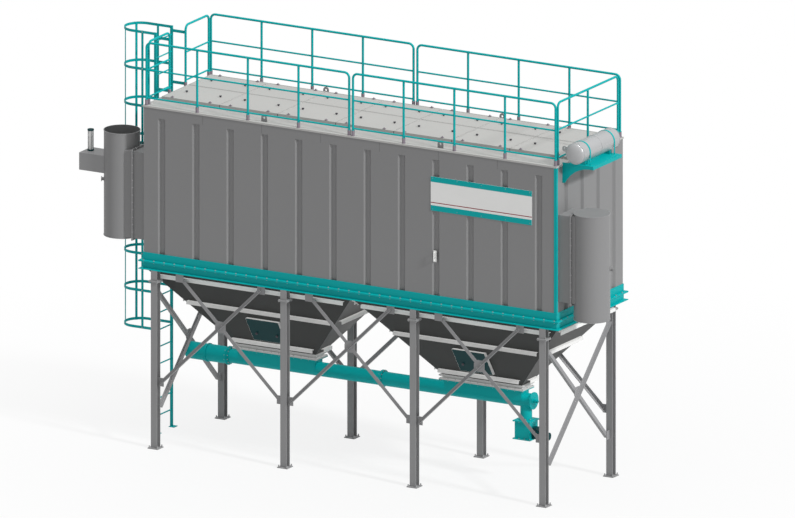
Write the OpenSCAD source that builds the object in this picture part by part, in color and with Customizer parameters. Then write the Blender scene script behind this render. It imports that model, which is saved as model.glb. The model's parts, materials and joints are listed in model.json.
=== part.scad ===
// Pulse dust collector on legs: corrugated filter housing, two hoppers over a screw conveyor,
// rotary valve, end ducts, caged ladder and railed roof. Millimetres, +Z up, floor at Z = 0.
// +X runs along the housing, -Y is the front. The origin is the centre of the column grid.

/* [Housing] */
// Length of the housing over its walls
housing_l = 8100; // [7800:10:8300]
// Width of the housing over its walls
housing_w = 2260; // [2240:10:2300]
// Height of the walls above the frame joint
wall_h = 2705; // [2500:5:2900]
// Thickness of the folded wall sheet
sheet_t = 5; // [4:1:8]
// Depth of a fold in the walls
groove_d = 36; // [25:1:45]
// Width of a fold at its floor
groove_floor_w = 70; // [50:1:90]
// Folds in each long wall
long_grooves = 12; // [8:1:12]
// Folds in each end wall
end_grooves = 4; // [2:1:5]
// Distance from a long wall's end to its first fold
long_margin = 350; // [300:5:450]
// Distance from an end wall's corner to its first fold
end_margin = 320; // [280:5:400]
// Height of the flat band over the folds
fascia_h = 190; // [120:5:260]
// Thickness of the roof deck
deck_t = 10; // [6:1:12]
// Side of the corner angle
corner_leg = 52; // [40:1:70]

/* [Roof hatches] */
// Hatches in one row
hatch_count = 7; // [4:1:8]
// Gap between neighbouring hatches
hatch_gap = 12; // [8:1:20]
// Height of a hatch above the deck
hatch_t = 45; // [30:1:60]
// Clear strip of deck along the front edge
walkway_w = 490; // [440:5:560]
// Clear strip of deck along the back edge
back_strip_w = 90; // [80:1:110]
// Clear strip of deck at each end
end_strip_w = 62; // [60:1:100]
// Share of the hatch field that the front row takes
front_row_share = 0.54; // [0.45:0.01:0.6]
// Width of a lifting lug
lug_w = 108; // [90:2:120]
// Thickness of a lifting lug
lug_t = 16; // [10:1:20]
// Radius of the hole in a lifting lug
lug_hole_r = 20; // [15:1:25]
// Half the distance between the lugs along the housing
lug_x = 1730; // [1600:10:1850]

/* [Railing] */
// Height of the top rail's centre above the deck
rail_h = 1095; // [1000:5:1200]
// Height of the middle rail above the deck
rail_mid_h = 620; // [500:5:700]
// Height of the low rail above the deck
rail_low_h = 128; // [110:1:200]
// Radius of the posts and the top rail
rail_r = 20; // [16:1:24]
// Radius of the lower rails
rail_bar_r = 15; // [12:1:18]
// Radius of the round top corners, to the tube's centre
rail_bend_r = 90; // [60:5:140]
// Distance of the posts from the wall face
rail_inset = 35; // [32:1:45]
// Radius of a post socket
socket_r = 28; // [26:1:32]
// Height of a post socket
socket_h = 100; // [60:5:110]
// Half the gap between two long rail sections
rail_half_gap = 38; // [32:1:60]
// Distance of an end section's first post from the corner post
rail_corner_gap = 75; // [70:5:110]

/* [Frame and columns] */
// Height of the lower frame's underside above the floor
frame_z = 3130; // [3000:10:3300]
// Height of the lower frame beam
frame_h = 145; // [120:5:180]
// Height of the upper frame plate above the joint
upper_frame_h = 145; // [120:5:180]
// Thickness of the frame plates
frame_t = 12; // [8:1:14]
// Reach of the frame flanges outside the wall face
flange_out = 70; // [65:1:80]
// Reach of the frame flanges inside the wall face
flange_in = 60; // [55:1:80]
// Distance between neighbouring columns
bay = 2541; // [2450:1:2600]
// Section height and width of a column
column_s = 120; // [100:1:126]
// Flange thickness of a column
column_flange_t = 10; // [8:1:14]
// Web thickness of a column
column_web_t = 8; // [6:1:12]
// Side of a base plate
base_s = 200; // [180:5:240]
// Thickness of a base plate
base_t = 16; // [12:1:25]
// Distance of an anchor hole from the column's centre lines
anchor_off = 78; // [76:1:82]
// Radius of an anchor hole
anchor_r = 11; // [9:1:12]
// Side of the bolted joint plates near the column head
joint_s = 180; // [160:5:220]
// Thickness of the two joint plates together
joint_t = 24; // [16:1:30]
// Distance of the joint plates below the frame
joint_drop = 200; // [150:5:260]

/* [Bracing] */
// Leg of the brace angles
brace_leg = 62; // [50:1:75]
// Thickness of the brace angles
brace_t = 7; // [5:1:9]
// Thickness of the gusset plates
gusset_t = 10; // [8:1:14]
// Radius of the middle gusset
gusset_r = 110; // [90:5:130]
// Height of the braces' low ends on the columns
brace_low_z = 1145; // [1000:5:1400]
// Distance of the braces' high ends from the columns
brace_top_x = 470; // [400:5:600]
// Height of the end braces' low ends
end_brace_low_z = 715; // [600:5:900]
// Height of the end braces' high ends
end_brace_high_z = 2760; // [2600:5:2850]

/* [Hoppers] */
// Plate thickness of the hoppers
hopper_t = 8; // [6:1:10]
// Height of a hopper
hopper_h = 1378; // [1300:1:1400]
// Length of a hopper outlet
outlet_l = 1560; // [1400:10:1700]
// Width of a hopper outlet
outlet_w = 300; // [280:5:360]
// Leg of the stiffening angles
rib_leg = 60; // [45:1:70]
// Thickness of the stiffening angles
rib_t = 8; // [6:1:10]
// Distance of a stiffener's end from the hopper's edge
rib_end = 90; // [60:5:150]
// Width of an inspection door
door_w = 636; // [500:2:700]
// Height of an inspection door
door_h = 442; // [380:2:500]
// Distance of a door's low edge above the outlet
door_up = 170; // [150:5:220]
// Reach of a door from the hopper plate
door_out = 72; // [50:1:90]

/* [Conveyor and valve] */
// Height of the conveyor axis above the floor
screw_z = 1472; // [1440:1:1490]
// Outer radius of the conveyor casing
casing_r = 122; // [110:1:126]
// Height of a feed trough over the conveyor axis
trough_h = 194; // [180:2:200]
// Width of a feed trough
trough_w = 262; // [256:1:275]
// Length of a feed trough
trough_l = 1512; // [1400:2:1600]
// Radius of the conveyor's end and middle flanges
screw_flange_r = 150; // [140:1:165]
// Thickness of one conveyor flange
screw_flange_t = 22; // [16:1:30]
// Outer radius of the conveyor's drive
drive_r = 148; // [140:1:155]
// Distance of the drive's joint from the left hopper's neck
drive_gap = 161.5; // [100:0.5:200]
// Distance of the discharge pipe from the casing's closed end
drop_in = 156; // [140:2:180]
// Radius of the discharge pipe
drop_r = 101; // [90:1:110]
// Reach of the casing past the right hopper's neck
casing_over = 112; // [80:1:150]
// Height of the valve's outlet above the floor
valve_z = 800; // [760:5:840]
// Height of the valve over its flanges
valve_h = 330; // [300:5:360]
// Side of the valve body
valve_s = 288; // [260:2:300]
// Reach of the valve's flanges round the body
valve_lip = 28; // [20:1:35]
// Side of the valve's outlet
valve_outlet_s = 200; // [160:5:220]
// Depth of the valve's outlet
valve_outlet_d = 110; // [80:5:130]
// Length of the motor's gearbox
gear_l = 90; // [70:5:110]
// Width of the motor's gearbox
gear_w = 150; // [130:5:170]
// Height of the motor's gearbox
gear_h = 190; // [170:5:200]
// Radius of the valve's motor
motor_r = 62; // [50:1:70]
// Length of the valve's motor
motor_l = 220; // [180:5:260]

/* [Ducts] */
// Outer radius of the inlet and outlet pipes
pipe_r = 310; // [290:1:320]
// Wall of the pipes
pipe_t = 6; // [5:1:10]
// Distance of the pipes' axis behind the front wall
pipe_in = 310; // [300:5:350]
// Distance of the inlet pipe's axis from the end wall
inlet_off = 520; // [490:5:590]
// Low end of the inlet pipe
inlet_z = 3320; // [3290:5:3400]
// Length of the inlet pipe
inlet_l = 1865; // [1830:5:1950]
// Distance of the outlet pipe's axis from the end wall
outlet_off = 605; // [550:5:650]
// Low end of the outlet pipe
outlet_z = 3575; // [3500:5:3590]
// Length of the outlet pipe
outlet_pipe_l = 1848; // [1800:2:1950]
// Width of the ducts
duct_w = 496; // [440:2:540]
// Low side of the ducts
duct_z = 3612; // [3600:2:3660]
// Height of the ducts
duct_h = 1528; // [1400:2:1540]
// Width of the ducts' flange
duct_lip = 38; // [25:1:45]
// Distance of the ducts' flange from the wall
duct_lip_off = 245; // [200:5:260]
// Reach of the damper box from the outlet pipe's axis
damper_reach = 725; // [650:5:800]
// Width of the damper box
damper_w = 410; // [360:5:460]
// Height of the damper box
damper_h = 305; // [260:5:340]
// Low side of the damper box
damper_z = 4664; // [4600:4:4750]
// Height of the damper's cylinder
actuator_h = 377; // [320:1:420]
// Radius of the damper's cylinder
actuator_r = 38; // [30:1:45]

/* [Air tank] */
// Radius of the air tank
tank_r = 182; // [160:1:190]
// Length of the air tank between its heads
tank_l = 1207; // [1000:1:1250]
// Depth of a tank head
tank_head_d = 84; // [60:1:95]
// Distance of the tank's axis from the wall
tank_off = 322; // [300:1:360]
// Distance of the tank's middle behind the front wall
tank_in = 688; // [650:2:730]
// Height of the tank's bracket above the deck
shelf_up = 30; // [10:2:60]
// Reach of the bracket from the wall
shelf_reach = 607; // [590:1:640]
// Length of the bracket
shelf_l = 972; // [900:2:1000]
// Thickness of the bracket's plates
shelf_t = 10; // [8:1:14]
// Height of the saddles under the tank
saddle_h = 36; // [30:1:60]
// Distance between the tank's straps
strap_span = 820; // [700:5:860]
// Width of a tank strap
strap_w = 36; // [25:1:50]

/* [Ladder] */
// Distance of the ladder from the end wall
ladder_off = 240; // [220:5:270]
// Gap between the outlet duct's flange and the ladder's wall plates
ladder_gap = 61; // [40:1:70]
// Distance between the ladder's stiles, centre to centre
ladder_w = 546; // [500:2:560]
// Width of a stile
stile_w = 50; // [40:1:60]
// Thickness of a stile
stile_t = 24; // [16:1:30]
// Depth of the ladder's high bracket below the roof
bracket_high = 500; // [400:10:700]
// Depth of the ladder's low bracket below the roof
bracket_low = 1900; // [1600:10:2100]
// Reach of a bracket's wall plate past the stiles
bracket_over = 160; // [100:5:200]
// Height of a bracket
bracket_h = 60; // [40:5:80]
// Rung spacing
rung_step = 300; // [260:5:320]
// Radius of a rung
rung_r = 12; // [10:1:15]
// Straight length of a hoop between the ladder and its round end
hoop_arm = 430; // [380:5:460]
// Height of the lowest hoop
hoop_low_z = 1834; // [1800:2:2200]
// Number of hoops
hoop_count = 9; // [6:1:9]
// Height of a hoop's flat bar
hoop_h = 46; // [35:1:60]
// Thickness of a hoop's flat bar
hoop_t = 8; // [5:1:10]

/* [Hidden] */
$fn = 48;

fit = 0.3;               // clearance between pieces that seat on each other
cut = 1;                 // reach of a cut past a face
grey = "#7d7d7d";
pale = "#c4c4c2";
dark = "#4a4b4b";
teal = "#138a88";

joint_z = frame_z + frame_h;              // bolted joint between the two frames
wall_z = joint_z + frame_t;               // underside of the walls
deck_z = wall_z + wall_h;                 // underside of the roof deck
roof_z = deck_z + deck_t;                 // top of the roof deck
wall_t = groove_d + sheet_t;              // depth of a folded wall
half_l = housing_l / 2;
half_w = housing_w / 2;
column_y = half_w + flange_out - column_s / 2;
columns_x = [-1.5 * bay, -0.5 * bay, 0.5 * bay, 1.5 * bay];
head_z = frame_z - joint_drop;            // underside of the joint plates
hopper_x = half_l / 2;
hopper_z = frame_z - hopper_h;            // hopper outlet
hopper_l = half_l - 10;
hopper_w = 2 * (column_y - column_s / 2 - fit);
lug_y = half_w - rail_inset - socket_r - lug_t / 2 - 7;
lug_hole_up = hatch_t + lug_hole_r + 5;   // height of a lug's hole, over the hatches
neck_z = screw_z + trough_h;              // top of the feed troughs
neck_flange_t = 22;
neck_lip = 45;
post_x = half_l - rail_inset;
post_y = half_w - rail_inset;
ladder_x = -half_l - ladder_off;
hoop_r = ladder_w / 2;
hoop_cx = ladder_x - stile_w / 2 - hoop_arm;
hoop_step = (roof_z + rail_h - 65 - hoop_low_z) / (hoop_count - 1);
shelf_z = roof_z + shelf_up;
tank_x = half_l + tank_off;
tank_y = half_w - tank_in;
inlet_x = half_l + inlet_off;
outlet_x = half_l + outlet_off;
pipe_y = half_w - pipe_in;
ladder_y = pipe_y - duct_w / 2 - duct_lip - ladder_gap - bracket_over - ladder_w / 2;
tank_z = shelf_z + saddle_h + tank_r;

function hopper_half_w(z) = outlet_w / 2 + (hopper_w - outlet_w) / 2 * (z - hopper_z) / hopper_h;
function hopper_half_l(z) = outlet_l / 2 + (hopper_l - outlet_l) / 2 * (z - hopper_z) / hopper_h;

// Columns and their plates

module column_section() {
    for (s = [-1, 1])
        translate([-column_s / 2, s * (column_s - column_flange_t) / 2 - column_flange_t / 2])
            square([column_s, column_flange_t]);
    translate([-column_web_t / 2, -column_s / 2 + cut])
        square([column_web_t, column_s - 2 * cut]);
}

module column_row(y) {
    for (x = columns_x)
        translate([x, y, base_t]) linear_extrude(head_z - base_t) column_section();
}

module base_plate() {
    difference() {
        translate([-base_s / 2, -base_s / 2, 0]) cube([base_s, base_s, base_t]);
        for (sx = [-1, 1], sy = [-1, 1])
            translate([sx * anchor_off, sy * anchor_off, -cut])
                cylinder(r = anchor_r, h = base_t + 2 * cut, $fn = 24);
    }
}

module base_plates() color(grey)
    for (x = columns_x, s = [-1, 1]) translate([x, s * column_y, 0]) base_plate();

module front_columns() color(grey) column_row(-column_y);

module back_columns() color(grey) column_row(column_y);

module column_heads() color(grey)
    for (x = columns_x, s = [-1, 1]) translate([x, s * column_y, head_z]) {
        translate([-joint_s / 2, -joint_s / 2, 0]) cube([joint_s, joint_s, joint_t]);
        translate([0, 0, joint_t]) linear_extrude(joint_drop - joint_t) column_section();
    }

// Cross bracing: angles before and behind flat gussets, drawn in the XZ plane

module angle_bar(a, b) {
    run = b - a;
    translate([a[0], 0, a[1]]) rotate([0, -atan2(run[1], run[0]), 0]) rotate([90, 0, 90])
        linear_extrude(norm(run)) {
            translate([0, -brace_leg / 2]) square([brace_t, brace_leg]);
            translate([0, -brace_leg / 2]) square([brace_leg, brace_t]);
        }
}

// a and b are the ends of the bar in front, c and d those of the bar behind.
module cross_brace(a, b, c, d) {
    meet = a + (b - a) * ((c[0] - a[0]) * (d[1] - c[1]) - (c[1] - a[1]) * (d[0] - c[0]))
        / ((b[0] - a[0]) * (d[1] - c[1]) - (b[1] - a[1]) * (d[0] - c[0]));
    mirror([0, 1, 0]) translate([0, gusset_t / 2 + fit, 0]) angle_bar(a, b);
    translate([0, gusset_t / 2 + fit, 0]) angle_bar(c, d);
    translate([meet[0], gusset_t / 2, meet[1]]) rotate([90, 0, 0])
        rotate(22.5) cylinder(r = gusset_r, h = gusset_t, $fn = 8);
}

// Gusset between x0 and x1 at height z
module end_gusset(x0, x1, z, h) {
    translate([min(x0, x1), -gusset_t / 2, z - h / 2]) cube([abs(x1 - x0), gusset_t, h]);
}

module long_braces(y) {
    plate_h = 150;
    bar_gap = column_s / 2 + 30;
    web = column_web_t / 2 + fit;
    top_z = frame_z - 60;
    for (i = [0:2]) translate([0, y, 0]) {
        x0 = columns_x[i];
        x1 = columns_x[i + 1];
        cross_brace([x0 + bar_gap, brace_low_z], [x1 - brace_top_x, top_z],
            [x0 + brace_top_x, top_z], [x1 - bar_gap, brace_low_z]);
        end_gusset(x0 + web, x0 + bar_gap + 70, brace_low_z + 30, plate_h);
        end_gusset(x1 - web, x1 - bar_gap - 70, brace_low_z + 30, plate_h);
        for (x = [x0 + brace_top_x, x1 - brace_top_x])
            end_gusset(x - 75, x + 75, frame_z - fit - plate_h / 2, plate_h);
    }
}

module end_braces(x) {
    face = column_y - column_s / 2 - fit;
    bar_y = face - 30;
    plate_h = 150;
    translate([x, 0, 0]) rotate([0, 0, 90]) {
        cross_brace([-bar_y, end_brace_low_z], [bar_y, end_brace_high_z],
            [-bar_y, end_brace_high_z], [bar_y, end_brace_low_z]);
        for (s = [-1, 1]) {
            end_gusset(s * face, s * (bar_y - 60), end_brace_low_z + 30, plate_h);
            end_gusset(s * face, s * (bar_y - 60), end_brace_high_z - 30, plate_h);
        }
    }
}

module front_braces() color(pale) long_braces(-column_y);

module back_braces() color(pale) mirror([0, 1, 0]) long_braces(-column_y);

module left_braces() color(pale) end_braces(columns_x[0]);

module right_braces() color(pale) end_braces(columns_x[3]);

// Frames round the housing

module ring(reach_in, reach_out, h) {
    difference() {
        translate([-half_l - reach_out, -half_w - reach_out, 0])
            cube([housing_l + 2 * reach_out, housing_w + 2 * reach_out, h]);
        translate([-half_l + reach_in, -half_w + reach_in, -cut])
            cube([housing_l - 2 * reach_in, housing_w - 2 * reach_in, h + 2 * cut]);
    }
}

module lower_frame() color(teal) translate([0, 0, frame_z]) {
    ring(flange_in, flange_out, frame_t);
    ring(0, frame_t, frame_h);
    translate([0, 0, frame_h - frame_t]) ring(flange_in, flange_out, frame_t);
    translate([-30, -half_w + flange_in - cut, 0])
        cube([60, housing_w - 2 * flange_in + 2 * cut, frame_h]);
}

module upper_frame() color(teal) translate([0, 0, joint_z]) {
    ring(flange_in, flange_out, frame_t);
    ring(0, frame_t, upper_frame_h);
}

// Walls: a folded sheet with a flat band on top. Its outer face is on y = 0, facing -Y.

function groove(x) = [
    [x - groove_floor_w / 2 - groove_d, 0], [x - groove_floor_w / 2, groove_d],
    [x + groove_floor_w / 2, groove_d], [x + groove_floor_w / 2 + groove_d, 0]
];

module folded_wall(length, count, margin) {
    pitch = (length - 2 * margin) / (count - 1);
    outer = concat([[0, 0]], [for (i = [0:count - 1]) each groove(margin + i * pitch)],
        [[length, 0]]);
    inner = [for (i = [len(outer) - 1:-1:0]) outer[i] + [0, sheet_t]];
    translate([-length / 2, 0, 0]) {
        linear_extrude(wall_h - fascia_h) polygon(concat(outer, inner));
        translate([0, 0, wall_h - fascia_h]) cube([length, wall_t, fascia_h]);
    }
}

module long_wall() {
    translate([0, -half_w, wall_z]) folded_wall(housing_l, long_grooves, long_margin);
}

module end_wall() {
    translate([half_l, 0, wall_z]) rotate(90)
        folded_wall(housing_w - 2 * wall_t - 2 * fit, end_grooves, end_margin - wall_t);
}

module front_wall() color(grey) long_wall();

module back_wall() color(grey) rotate(180) long_wall();

module left_wall() color(grey) rotate(180) end_wall();

module right_wall() color(grey) end_wall();

module corner_strip() {
    strip_z = joint_z + upper_frame_h;
    color(teal) translate([half_l, -half_w, strip_z]) difference() {
        translate([sheet_t - corner_leg, -sheet_t, 0])
            cube([corner_leg, corner_leg, deck_z - strip_z]);
        translate([-corner_leg, 0, -cut]) cube([corner_leg, corner_leg, deck_z - strip_z + 2 * cut]);
    }
}

// Roof

module roof_deck() color(pale) translate([-half_l, -half_w, deck_z])
    cube([housing_l, housing_w, deck_t]);

module hatch_row(y0, y1) {
    pitch = (housing_l - 2 * end_strip_w) / hatch_count;
    for (i = [0:hatch_count - 1])
        translate([-half_l + end_strip_w + i * pitch + hatch_gap / 2, y0 + hatch_gap / 2, roof_z])
            cube([pitch - hatch_gap, y1 - y0 - hatch_gap, hatch_t]);
}

hatch_y0 = -half_w + walkway_w;
hatch_y1 = half_w - back_strip_w;
hatch_split = hatch_y0 + (hatch_y1 - hatch_y0) * front_row_share;

module front_hatches() color(pale) hatch_row(hatch_y0, hatch_split);

module back_hatches() color(pale) hatch_row(hatch_split, hatch_y1);

module lifting_lugs() color(grey)
    for (sx = [-1, 1], sy = [-1, 1])
        translate([sx * lug_x, sy * lug_y + lug_t / 2, roof_z]) rotate([90, 0, 0])
            difference() {
                linear_extrude(lug_t) {
                    translate([-lug_w / 2, 0]) square([lug_w, lug_hole_up]);
                    translate([0, lug_hole_up]) circle(r = lug_w / 2);
                }
                translate([0, lug_hole_up, -cut]) cylinder(r = lug_hole_r, h = lug_t + 2 * cut);
            }

// Hoppers

module hopper_body(grow, z0, z1) {
    l0 = hopper_half_l(z0) + grow;
    w0 = hopper_half_w(z0) + grow;
    l1 = hopper_half_l(z1) + grow;
    w1 = hopper_half_w(z1) + grow;
    polyhedron(
        points = [
            [-l0, -w0, z0], [l0, -w0, z0], [l0, w0, z0], [-l0, w0, z0],
            [-l1, -w1, z1], [l1, -w1, z1], [l1, w1, z1], [-l1, w1, z1]
        ],
        faces = [
            [0, 1, 2, 3], [7, 6, 5, 4], [0, 4, 5, 1],
            [1, 5, 6, 2], [2, 6, 7, 3], [3, 7, 4, 0]
        ]);
}

module hopper() {
    difference() {
        hopper_body(0, hopper_z, frame_z);
        hopper_body(-hopper_t, hopper_z - cut, frame_z + cut);
    }
}

// A stiffener under a hopper face: half(z) is the face's distance from the centre.
module rib_profile(r0, slope, z) {
    polygon([
        [r0 + fit, z], [r0 + rib_leg, z], [r0 + rib_leg, z - rib_leg],
        [r0 + rib_leg - rib_t, z - rib_leg], [r0 + rib_leg - rib_t, z - rib_t],
        [r0 - slope * rib_t + fit, z - rib_t]
    ]);
}

module hopper_ribs() {
    slope_w = (hopper_w - outlet_w) / 2 / hopper_h;
    slope_l = (hopper_l - outlet_l) / 2 / hopper_h;
    top_rib_z = frame_z - rib_leg / slope_w - 2;
    for (z = [top_rib_z, hopper_z + 0.58 * hopper_h, hopper_z + 0.085 * hopper_h],
            s = [0, 180]) rotate(s) {
        run_l = 2 * (hopper_half_l(z) - rib_end);
        run_w = 2 * max(hopper_half_w(z) - rib_end, outlet_w / 4);
        translate([run_l / 2, 0, 0]) rotate([90, 0, -90])
            linear_extrude(run_l) rib_profile(hopper_half_w(z), slope_w, z);
        translate([0, run_w / 2, 0]) rotate([90, 0, 0])
            linear_extrude(run_w) rib_profile(hopper_half_l(z), slope_l, z);
    }
}

module left_hopper() color(dark) translate([-hopper_x, 0, 0]) hopper();

module right_hopper() color(dark) translate([hopper_x, 0, 0]) hopper();

module left_hopper_ribs() color(pale) translate([-hopper_x, 0, 0]) hopper_ribs();

module right_hopper_ribs() color(pale) translate([hopper_x, 0, 0]) hopper_ribs();

module inspection_doors() {
    z0 = hopper_z + door_up;
    z1 = z0 + door_h;
    color(teal) for (s = [-1, 1]) translate([s * hopper_x + door_w / 2, 0, 0]) rotate([90, 0, -90])
        linear_extrude(door_w) polygon([
            [hopper_half_w(z0) + fit, z0], [hopper_half_w(z0) + door_out, z0],
            [hopper_half_w(z1) + door_out, z1], [hopper_half_w(z1) + fit, z1]
        ]);
}

module block(l, w, z0, z1) translate([-l / 2, -w / 2, z0]) cube([l, w, z1 - z0]);

module outlet_necks() color(pale) for (s = [-1, 1]) translate([s * hopper_x, 0, 0]) {
    l = outlet_l + 2 * neck_lip;
    w = outlet_w + 2 * neck_lip;
    block(outlet_l - 20, outlet_w - 20, neck_z + cut, hopper_z - cut);
    block(l, w, neck_z, neck_z + neck_flange_t);
    block(l, w, hopper_z - neck_flange_t, hopper_z);
}

// Screw conveyor, discharge pipe and rotary valve

module along_x(r, x0, x1) translate([x0, 0, screw_z]) rotate([0, 90, 0]) cylinder(r = r, h = x1 - x0);

neck_end = outlet_l / 2 + neck_lip;       // from a hopper's middle to its neck's end
drive_x = -hopper_x - neck_end - drive_gap;
drive_l = drive_x - columns_x[0];
casing_end_x = hopper_x + neck_end + casing_over;
drop_x = casing_end_x - drop_in;

module conveyor_casing() color(teal) {
    along_x(casing_r, drive_x, casing_end_x);
    along_x(screw_flange_r, drive_x, drive_x + screw_flange_t);
    along_x(screw_flange_r, -screw_flange_t, screw_flange_t);
    along_x(screw_flange_r, casing_end_x - screw_flange_t, casing_end_x);
    along_x(casing_r / 3, casing_end_x - cut, casing_end_x + 40);
    along_x(casing_r / 5, casing_end_x, casing_end_x + 80);
}

module feed_troughs() color(teal) for (s = [-1, 1]) translate([s * hopper_x, 0, 0])
    difference() {
        union() {
            block(trough_l, trough_w, screw_z + 10, neck_z);
            block(outlet_l + 2 * neck_lip, outlet_w + 2 * neck_lip, neck_z - 16, neck_z);
        }
        along_x(casing_r + fit, -trough_l, trough_l);
    }

module conveyor_drive() color(teal) {
    start_x = drive_x - drive_l;
    along_x(drive_r, start_x, drive_x);
    along_x(screw_flange_r + 12, start_x + drive_l / 2 - screw_flange_t, start_x + drive_l / 2);
    along_x(screw_flange_r + 12, drive_x - screw_flange_t, drive_x);
}

module discharge_pipe() color(teal) difference() {
    translate([drop_x, 0, valve_z + valve_h]) {
        cylinder(r = drop_r, h = screw_z - valve_z - valve_h);
        cylinder(r = drop_r + 30, h = 14);
    }
    along_x(casing_r + fit, drop_x - 2 * drop_r, drop_x + 2 * drop_r);
}

module rotary_valve() color(teal) translate([drop_x, 0, 0]) difference() {
    lip_s = valve_s + 2 * valve_lip;
    union() {
        block(valve_s, valve_s, valve_z + cut, valve_z + valve_h - cut);
        block(lip_s, lip_s, valve_z, valve_z + 16);
        block(lip_s, lip_s, valve_z + valve_h - 16, valve_z + valve_h);
    }
    block(valve_outlet_s, valve_outlet_s, valve_z - cut, valve_z + valve_outlet_d);
}

module valve_motor() color(teal) translate([drop_x + valve_s / 2 + fit, 0, valve_z + 84]) {
    translate([0, -gear_w / 2, -motor_r]) cube([gear_l, gear_w, gear_h]);
    translate([gear_l - cut, 0, 0]) rotate([0, 90, 0]) cylinder(r = motor_r, h = motor_l);
    translate([gear_l - cut + motor_l - 30, 0, 0]) rotate([0, 90, 0]) cylinder(r = motor_r + 5, h = 30);
}

// Ducts at the two ends

module standing_pipe(length, open_top) {
    difference() {
        cylinder(r = pipe_r, h = length, $fn = 96);
        translate([0, 0, open_top ? pipe_t : -cut])
            cylinder(r = pipe_r - pipe_t, h = length - pipe_t + cut, $fn = 96);
    }
}

// A small flanged sampling port, pointing outwards along the angle
module port(angle, z) {
    port_r = 30;
    rotate(angle) translate([pipe_r - pipe_t / 2, 0, z]) rotate([0, 90, 0]) {
        cylinder(r = port_r, h = 50);
        translate([0, 0, 38]) cylinder(r = port_r + 16, h = 12);
    }
}

module inlet_pipe() color(grey) translate([inlet_x, -pipe_y, inlet_z]) {
    standing_pipe(inlet_l, false);
    port(30, inlet_l * 0.47);
}

module outlet_pipe() color(grey) translate([-outlet_x, -pipe_y, outlet_z]) {
    standing_pipe(outlet_pipe_l, true);
    port(210, outlet_pipe_l * 0.53);
}

// A duct from the end wall to a pipe whose axis is at distance axis_x
module duct(axis_x) {
    reach = axis_x - half_l - sqrt(pow(pipe_r, 2) - pow(duct_w / 2, 2));
    difference() {
        union() {
            translate([half_l, -pipe_y - duct_w / 2, duct_z]) cube([reach, duct_w, duct_h]);
            translate([half_l + duct_lip_off, -pipe_y - duct_w / 2 - duct_lip, duct_z - duct_lip])
                cube([16, duct_w + 2 * duct_lip, duct_h + 2 * duct_lip]);
        }
        translate([axis_x, -pipe_y, duct_z - duct_lip - cut])
            cylinder(r = pipe_r + fit, h = duct_h + 2 * duct_lip + 2 * cut, $fn = 96);
    }
}

module inlet_duct() color(grey) duct(inlet_x);

module outlet_duct() color(grey) mirror([1, 0, 0]) duct(outlet_x);

module damper_box() color(grey) difference() {
    translate([-outlet_x - damper_reach, -pipe_y - damper_w / 2, damper_z])
        cube([damper_reach, damper_w, damper_h]);
    translate([-outlet_x, -pipe_y, damper_z - cut])
        cylinder(r = pipe_r + fit, h = damper_h + 2 * cut, $fn = 96);
}

module damper_cylinder() color(pale)
    translate([-outlet_x - damper_reach + 110, -pipe_y, damper_z + damper_h]) {
        cap_r = actuator_r + 17;
        cylinder(r = actuator_r, h = actuator_h);
        cylinder(r = cap_r, h = 22);
        translate([0, 0, actuator_h - 22]) cylinder(r = cap_r, h = 22);
    }

// Air tank on its bracket

function head_arc(r, d, base) = [for (a = [0:10:90]) [r * cos(a), base + d * sin(a)]];

module air_tank() {
    profile = concat([[0, -tank_l / 2 - tank_head_d]],
        [for (p = head_arc(tank_r, tank_head_d, tank_l / 2)) [p[0], -p[1]]],
        head_arc(tank_r, tank_head_d, tank_l / 2), [[0, tank_l / 2 + tank_head_d]]);
    outline = [for (i = [0:len(profile) - 1]) if (profile[i][0] > 0.01) profile[i]];
    lower = [for (p = outline) if (p[1] < 0) p];
    upper = [for (p = outline) if (p[1] > 0) p];
    color(pale) translate([tank_x, -tank_y, tank_z]) rotate([90, 0, 0]) rotate_extrude()
        polygon(concat([[0, -tank_l / 2 - tank_head_d]],
            [for (i = [len(lower) - 1:-1:0]) lower[i]], upper,
            [[0, tank_l / 2 + tank_head_d]]));
}

module tank_straps() {
    band_r = tank_r + fit;
    color(teal) for (s = [-1, 1])
        translate([tank_x, -tank_y + s * strap_span / 2 + strap_w / 2, tank_z]) rotate([90, 0, 0])
            linear_extrude(strap_w) difference() {
                union() {
                    circle(r = band_r + 5);
                    translate([-band_r - 5, shelf_z - tank_z]) square([2 * band_r + 10, tank_z - shelf_z]);
                }
                circle(r = band_r);
                translate([-band_r, shelf_z - tank_z - cut]) square([2 * band_r, tank_z - shelf_z + cut]);
            }
}

module bracket_side() {
    side_h = 356;
    tip_h = 60;
    sweep_r = 560;
    rotate([90, 0, 0]) linear_extrude(shelf_t) difference() {
        translate([0, -side_h]) square([shelf_reach, side_h]);
        translate([shelf_reach - 63, -tip_h - sweep_r]) circle(r = sweep_r);
        translate([shelf_reach - 63, -side_h - cut]) square([63 + cut, side_h - tip_h + cut]);
    }
}

module tank_bracket() {
    y0 = -tank_y - shelf_l / 2;
    color(teal) {
        for (y = [y0 + shelf_t, y0 + shelf_l]) translate([half_l + fit, y, shelf_z]) bracket_side();
        translate([half_l + 120, y0, shelf_z - shelf_t])
            cube([shelf_reach - 120 + fit, shelf_l, shelf_t]);
        translate([half_l + shelf_reach - shelf_t + fit, y0, shelf_z - 60])
            cube([shelf_t, shelf_l, 60]);
        for (s = [-1, 1]) translate([tank_x, -tank_y + s * strap_span / 2, 0]) difference() {
            translate([-tank_r * 0.6, -strap_w, shelf_z - cut])
                cube([tank_r * 1.2, 2 * strap_w, saddle_h + tank_r * 0.2]);
            translate([0, -strap_w - cut, tank_z]) rotate([-90, 0, 0])
                cylinder(r = tank_r + fit, h = 2 * strap_w + 2 * cut);
        }
    }
}

// Ladder and cage

ladder_top = roof_z + rail_h - 42;

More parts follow.
